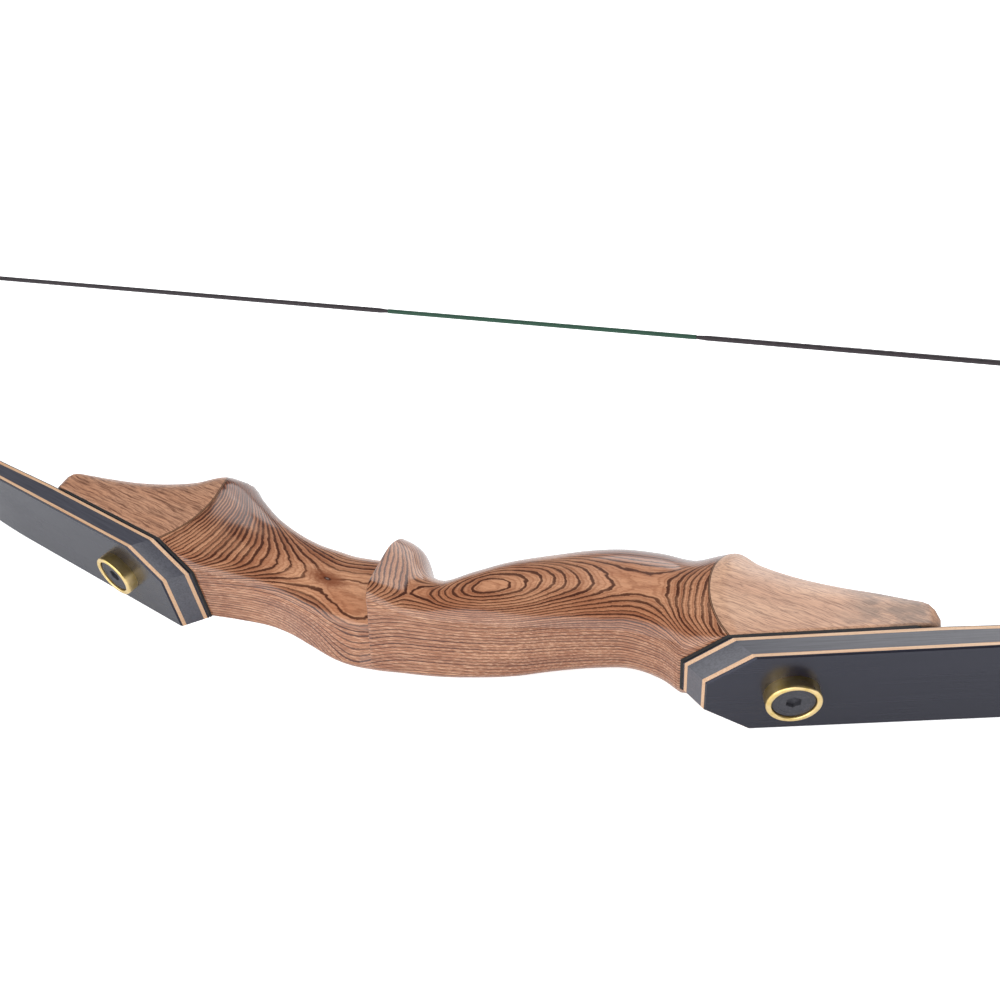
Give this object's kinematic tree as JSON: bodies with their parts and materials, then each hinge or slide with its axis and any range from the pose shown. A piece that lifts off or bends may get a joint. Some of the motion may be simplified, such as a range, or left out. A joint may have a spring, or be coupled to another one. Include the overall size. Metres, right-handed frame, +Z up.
{
  "type": "takedown recurve bow",
  "caption": "Strung takedown recurve bow: a sculpted wooden riser with arrow shelf and sight window, bolted laminated limbs with recurved tips, and a served string.",
  "frame": {"origin": "under the middle of the strung bow as it lies on its side, at the middle of its length and of its depth, on the surface it lies on", "axes": "+X along the bow towards the lower limb, +Y from the target side to the string, +Z up, out of the sight window side"},
  "size_m": [1.427, 0.2656, 0.0475],
  "materials": {
    "figured_wood": "oiled, strongly figured",
    "plain_wood": "oiled, plain",
    "light_wood": "satin lacquer",
    "dark_core": "dark grey lacquer",
    "limb_glass": "glossy black fibreglass",
    "black_pad": "matt",
    "tip_black": "glossy",
    "brass": "turned, polished rim",
    "black_steel": "black oxide",
    "bright_steel": "plain",
    "string_dark": "waxed",
    "serving_green": "tightly wound",
    "serving_grey": "tightly wound"
  },
  "bodies": {
    "riser": {"riser_centre": "figured_wood", "upper_end_block": "plain_wood", "lower_end_block": "plain_wood", "upper_limb_pad": "black_pad", "lower_limb_pad": "black_pad", "upper_insert": "brass", "lower_insert": "brass", "upper_locating_pin": "bright_steel", "lower_locating_pin": "bright_steel"},
    "upper_limb": {"upper_back_glass": "limb_glass", "upper_back_lamination": "light_wood", "upper_core": "dark_core", "upper_belly_lamination": "light_wood", "upper_belly_glass": "limb_glass", "upper_tip_overlay": "tip_black"},
    "upper_collar": {"upper_bolt_collar": "brass"},
    "upper_bolt": {"upper_limb_bolt": "black_steel"},
    "upper_string": {"upper_strands": "string_dark", "upper_centre_serving": "serving_green", "upper_end_serving": "serving_grey", "upper_string_loop": "serving_grey"},
    "lower_limb": {"lower_back_glass": "limb_glass", "lower_back_lamination": "light_wood", "lower_core": "dark_core", "lower_belly_lamination": "light_wood", "lower_belly_glass": "limb_glass", "lower_tip_overlay": "tip_black"},
    "lower_collar": {"lower_bolt_collar": "brass"},
    "lower_bolt": {"lower_limb_bolt": "black_steel"},
    "lower_string": {"lower_strands": "string_dark", "lower_centre_serving": "serving_green", "lower_end_serving": "serving_grey", "lower_string_loop": "serving_grey"}
  },
  "joints": [
    {"name": "upper_limb_flex", "type": "hinge", "parent": "riser", "child": "upper_limb", "pos_m": [-0.31568, -0.05748, 0.0225], "axis": [0, 0, -1], "range_deg": [0, 18.97], "stiffness_Nm_per_rad": 250, "deforming": ["upper_back_glass", "upper_back_lamination", "upper_core", "upper_belly_lamination", "upper_belly_glass", "upper_tip_overlay"]},
    {"name": "lower_limb_flex", "type": "hinge", "parent": "riser", "child": "lower_limb", "pos_m": [0.31568, -0.05748, 0.0225], "axis": [0, 0, 1], "range_deg": [0, 18.97], "stiffness_Nm_per_rad": 250, "deforming": ["lower_back_glass", "lower_back_lamination", "lower_core", "lower_belly_lamination", "lower_belly_glass", "lower_tip_overlay"]},
    {"name": "upper_string_swing", "type": "hinge", "parent": "upper_limb", "child": "upper_string", "pos_m": [-0.69646, 0.13129, 0.0225], "axis": [0, 0, 1], "range_deg": [0, 48.36], "deforming": ["upper_strands", "upper_centre_serving", "upper_end_serving", "upper_string_loop"]},
    {"name": "lower_string_swing", "type": "hinge", "parent": "lower_limb", "child": "lower_string", "pos_m": [0.69646, 0.13129, 0.0225], "axis": [0, 0, -1], "range_deg": [0, 45.9], "deforming": ["lower_strands", "lower_centre_serving", "lower_end_serving", "lower_string_loop"]},
    {"name": "upper_bolt_travel", "type": "slide", "parent": "riser", "child": "upper_collar", "axis": [-0.2924, -0.9563, 0], "range_m": [0, 0.01799]},
    {"name": "upper_bolt_turn", "type": "hinge", "parent": "upper_collar", "child": "upper_bolt", "pos_m": [-0.157, -0.11679, 0.0225], "axis": [-0.2924, -0.9563, 0], "range_deg": [0, 6120.5]},
    {"name": "lower_bolt_travel", "type": "slide", "parent": "riser", "child": "lower_collar", "axis": [0.2924, -0.9563, 0], "range_m": [0, 0.01799]},
    {"name": "lower_bolt_turn", "type": "hinge", "parent": "lower_collar", "child": "lower_bolt", "pos_m": [0.157, -0.11679, 0.0225], "axis": [0.2924, -0.9563, 0], "range_deg": [0, 6120.5]}
  ],
  "couplings": [
    {"joint": "lower_limb_flex", "follows": "upper_limb_flex", "ratio": 1},
    {"joint": "upper_string_swing", "follows": "upper_limb_flex", "ratio": 2.5469},
    {"joint": "lower_string_swing", "follows": "upper_limb_flex", "ratio": 2.4172},
    {"joint": "upper_bolt_turn", "follows": "upper_bolt_travel", "rad_per_m": 5936.9},
    {"joint": "lower_bolt_turn", "follows": "lower_bolt_travel", "rad_per_m": 5936.9}
  ]
}
